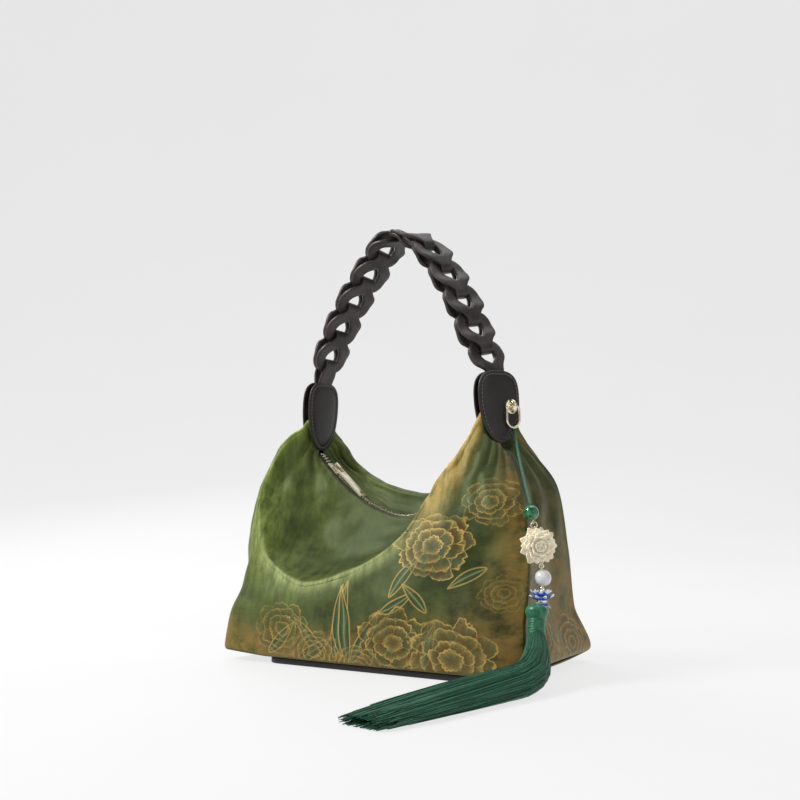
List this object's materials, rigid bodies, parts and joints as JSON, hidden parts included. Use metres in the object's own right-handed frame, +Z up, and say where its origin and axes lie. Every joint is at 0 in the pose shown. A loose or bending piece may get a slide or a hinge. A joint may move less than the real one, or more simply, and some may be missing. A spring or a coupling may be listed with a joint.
{
  "type": "small hobo handbag with a linked leather handle",
  "caption": "Soft trapezoid hobo bag of printed silk with a sagging zip mouth, interlocked leather link handle, leather end tabs and a tassel charm.",
  "frame": {"origin": "centre of the underside of the leather base board, which rests on the floor", "axes": "+Z up, -Y out of the front that the tassel lies before, +X towards the tab that carries the charm"},
  "size_m": [0.2984, 0.3239, 0.3686],
  "materials": {
    "silk": "satin",
    "leather": "satin",
    "gold": "polished",
    "tape": "matt",
    "cord": "satin",
    "jade": "polished",
    "ivory_resin": "satin",
    "pearl": "pearl",
    "enamel": "polished",
    "thread": "satin"
  },
  "bodies": {
    "bag": {"front_panel": "silk", "back_panel": "silk", "left_gusset": "silk", "right_gusset": "silk", "bottom_panel": "silk", "base_board": "leather", "left_tab_outer": "leather", "left_tab_inner": "leather", "right_tab_outer": "leather", "right_tab_inner": "leather", "strap_end_right": "leather", "handle_link_01": "leather", "handle_link_02": "leather", "handle_link_03": "leather", "handle_link_04": "leather", "handle_link_05": "leather", "handle_link_06": "leather", "handle_link_07": "leather", "handle_link_08": "leather", "handle_link_09": "leather", "handle_link_10": "leather", "strap_end_left": "leather", "zip_teeth_end": "gold", "zip_teeth": "gold", "zip_slider": "gold", "ring_mount": "gold", "charm_ring": "gold", "charm_loop_1": "gold", "charm_loop_2": "gold", "charm_loop_3": "gold", "zip_tape_front": "tape", "zip_tape_back": "tape", "charm_cord": "cord", "green_bead": "jade", "pearl_bead": "pearl", "carved_flower": "ivory_resin", "petal_cap": "enamel", "tassel": "thread"},
    "pull": {"zip_pull": "gold"}
  },
  "joints": [
    {"name": "pull_hinge", "type": "hinge", "parent": "bag", "child": "pull", "pos_m": [-0.07111, 0, 0.16298], "axis": [0, -1, 0], "range_deg": [0, 110]}
  ]
}
